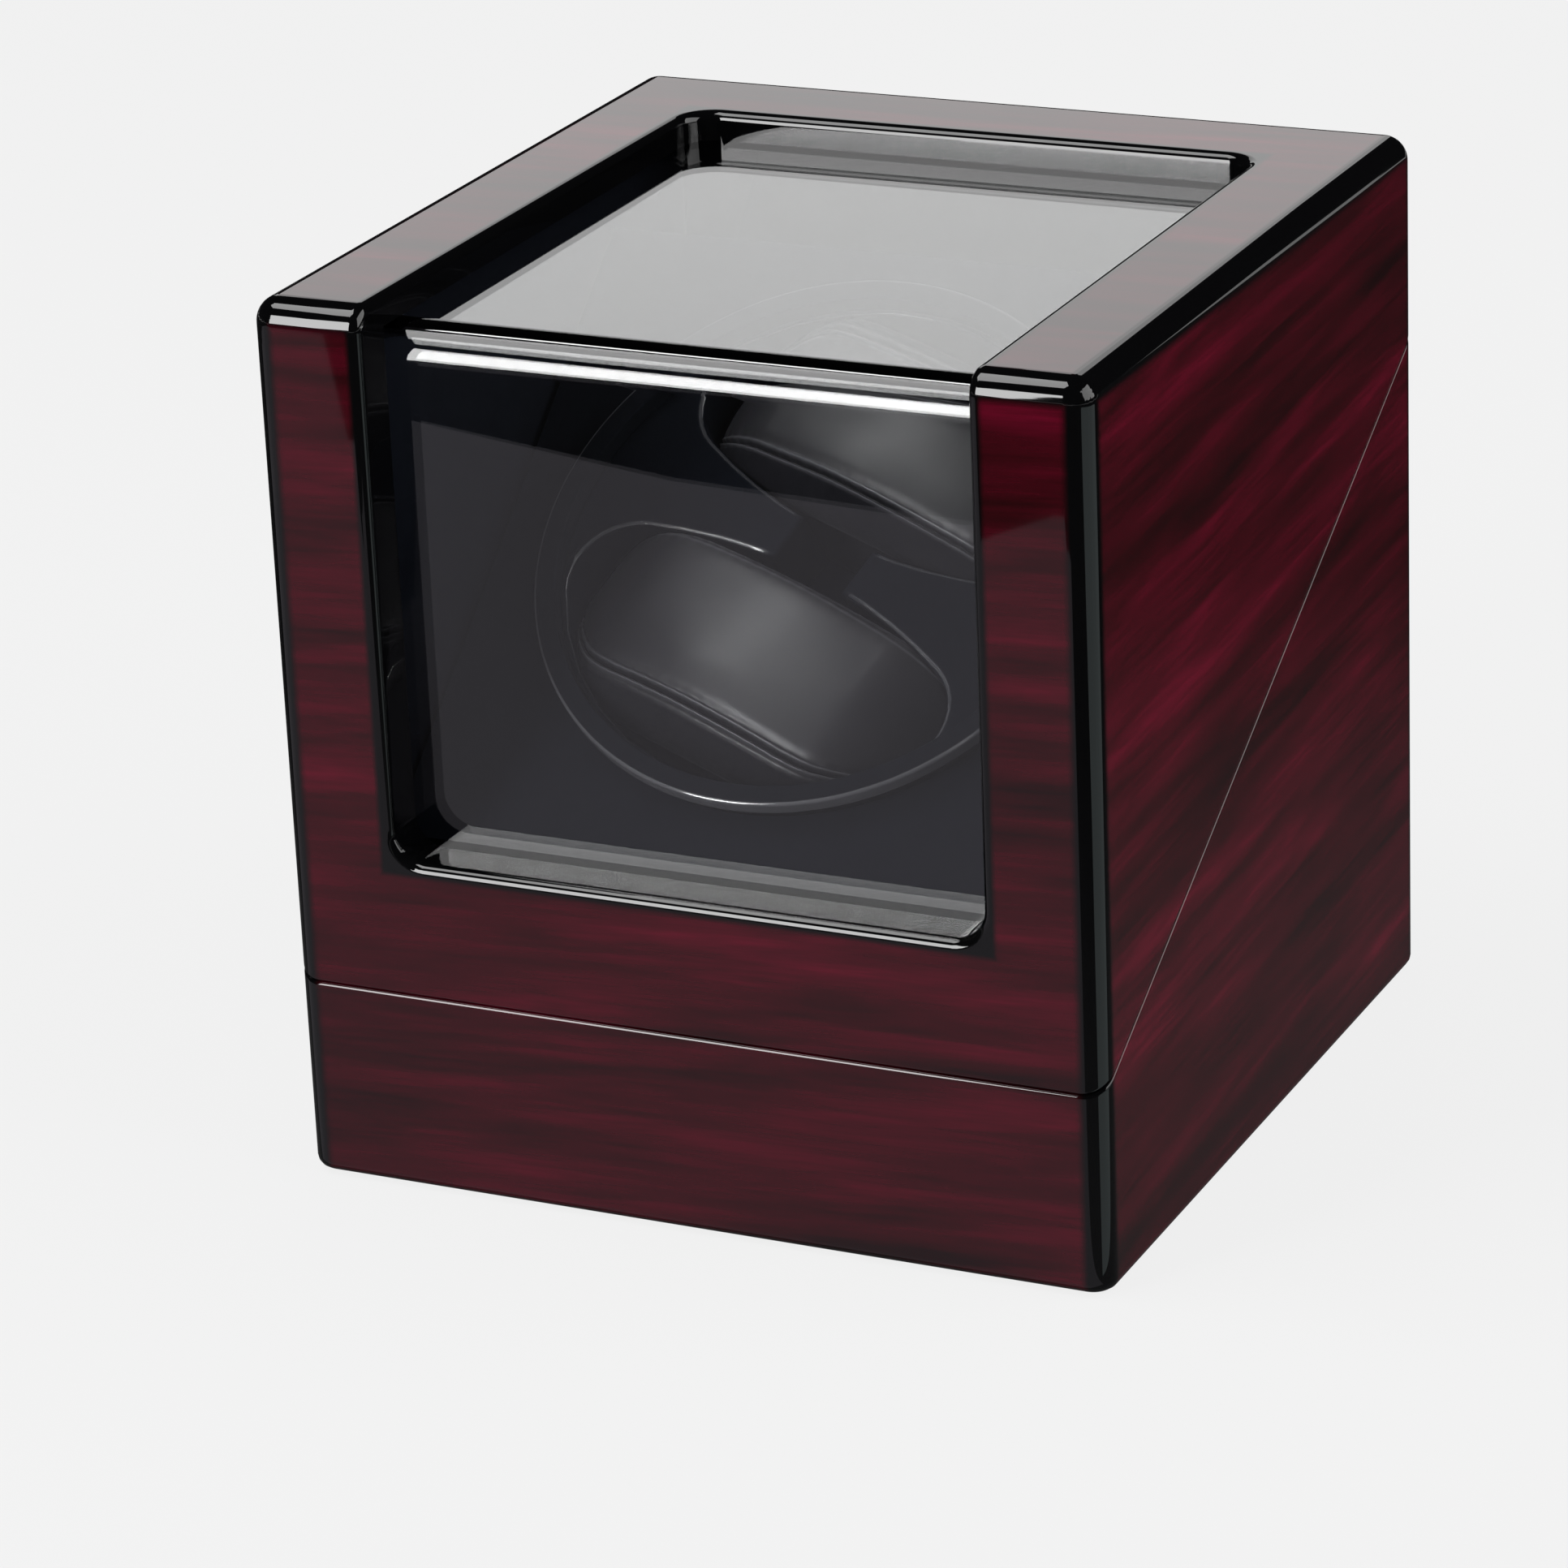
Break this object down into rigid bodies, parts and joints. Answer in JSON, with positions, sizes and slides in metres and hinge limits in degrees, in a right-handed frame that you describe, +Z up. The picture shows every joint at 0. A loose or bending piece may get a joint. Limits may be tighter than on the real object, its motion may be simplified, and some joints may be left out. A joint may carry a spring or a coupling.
{
  "type": "watch winder box",
  "caption": "Watch winder box in gloss dark red veneer, with a wedge-cut hinged lid, a bent clear window over front and top, and a tilted motor-driven turntable with watch pillows",
  "frame": {"origin": "On the resting face, under the middle of the case (hinges left out)", "axes": "+Z up, front with the window faces -Y, +X to the right seen from the front"},
  "size_m": [0.16, 0.1669, 0.169],
  "materials": {
    "lacquered_veneer": "high-gloss clear lacquer over dark red rosewood veneer, darker to black at the rounded edges and in the window recess",
    "black_board": "black-coated board",
    "felt": "black felt",
    "clear_acrylic": "clear polished acrylic",
    "suede": "charcoal velour on board",
    "pillow_velvet": "charcoal velvet over foam, with sewn side seams",
    "gloss_black_plastic": "polished black plastic",
    "black_plastic": "fine-textured black plastic",
    "black_rubber": "black rubber",
    "white_acetal": "natural white acetal",
    "steel": "zinc-plated steel",
    "nickel": "nickel plate",
    "brass": "plain brass",
    "pine": "bare pine",
    "circuit_board": "green solder mask",
    "red_insulation": "red and black insulated wire"
  },
  "bodies": {
    "base": {"base_shell": "lacquered_veneer", "bottom_board": "black_board", "base_felt": "felt", "bottom_screws": "steel", "striker_discs": "nickel", "seam_bumpers": "black_rubber", "hinge_base_leaf_left": "brass", "hinge_pin_left": "brass", "hinge_base_leaf_right": "brass", "hinge_pin_right": "brass", "hinge_base_screws": "brass", "deck_panel": "suede", "deck_front_board": "suede", "deck_cheek_left": "black_board", "deck_cheek_right": "black_board", "deck_rear_board": "suede", "bearing_bush": "brass", "drive_plate": "steel", "plate_batten_left": "pine", "plate_batten_right": "pine", "plate_screws": "steel", "gearbox": "steel", "motor_can": "steel", "motor_screws": "steel", "control_plate": "black_plastic", "control_screws": "steel", "circuit_board": "circuit_board", "board_screws": "steel", "selector_switch": "black_plastic", "power_inlet": "black_plastic", "inlet_contact": "nickel", "driver_chip": "black_plastic", "filter_capacitor": "black_plastic", "lead_socket": "white_acetal", "motor_lead": "red_insulation"},
    "lid": {"lid_shell": "lacquered_veneer", "window_pane": "clear_acrylic", "lid_lining_left": "suede", "lid_lining_right": "suede", "lid_magnets": "nickel", "hinge_lid_leaf_left": "brass", "hinge_lid_leaf_right": "brass", "hinge_lid_screws": "brass"},
    "turntable": {"turntable_cup": "gloss_black_plastic", "pocket_insert": "suede", "spindle": "steel", "hub_screw": "steel", "drive_gear": "white_acetal", "thrust_washer": "white_acetal", "retaining_clip": "steel"},
    "lower_pillow": {"pillow_lower": "pillow_velvet"},
    "upper_pillow": {"pillow_upper": "pillow_velvet"},
    "motor_output": {"output_shaft": "steel", "pinion": "brass"},
    "selector": {"selector_shaft": "white_acetal", "selector_knob": "black_plastic"}
  },
  "joints": [
    {"name": "lid_hinge", "type": "hinge", "parent": "base", "child": "lid", "pos_m": [0, 0.0837, 0.13253], "axis": [-1, 0, 0], "range_deg": [0, 95]},
    {"name": "turntable_spin", "type": "hinge", "parent": "base", "child": "turntable", "pos_m": [0, -0.018, 0.1117], "axis": [0, -0.6428, 0.766], "continuous": true},
    {"name": "motor_output_spin", "type": "hinge", "parent": "base", "child": "motor_output", "pos_m": [0.032, -0.018, 0.1117], "axis": [0, -0.6428, 0.766], "continuous": true},
    {"name": "lower_pillow_lift", "type": "slide", "parent": "turntable", "child": "lower_pillow", "axis": [0, -0.6428, 0.766], "range_m": [0, 0.01]},
    {"name": "upper_pillow_lift", "type": "slide", "parent": "turntable", "child": "upper_pillow", "axis": [0, -0.6428, 0.766], "range_m": [0, 0.01]},
    {"name": "selector_turn", "type": "hinge", "parent": "base", "child": "selector", "pos_m": [-0.015, 0.069, 0.031], "axis": [0, 1, 0], "range_deg": [0, 270]}
  ],
  "couplings": [
    {"joint": "motor_output_spin", "follows": "turntable_spin", "ratio": -3}
  ]
}
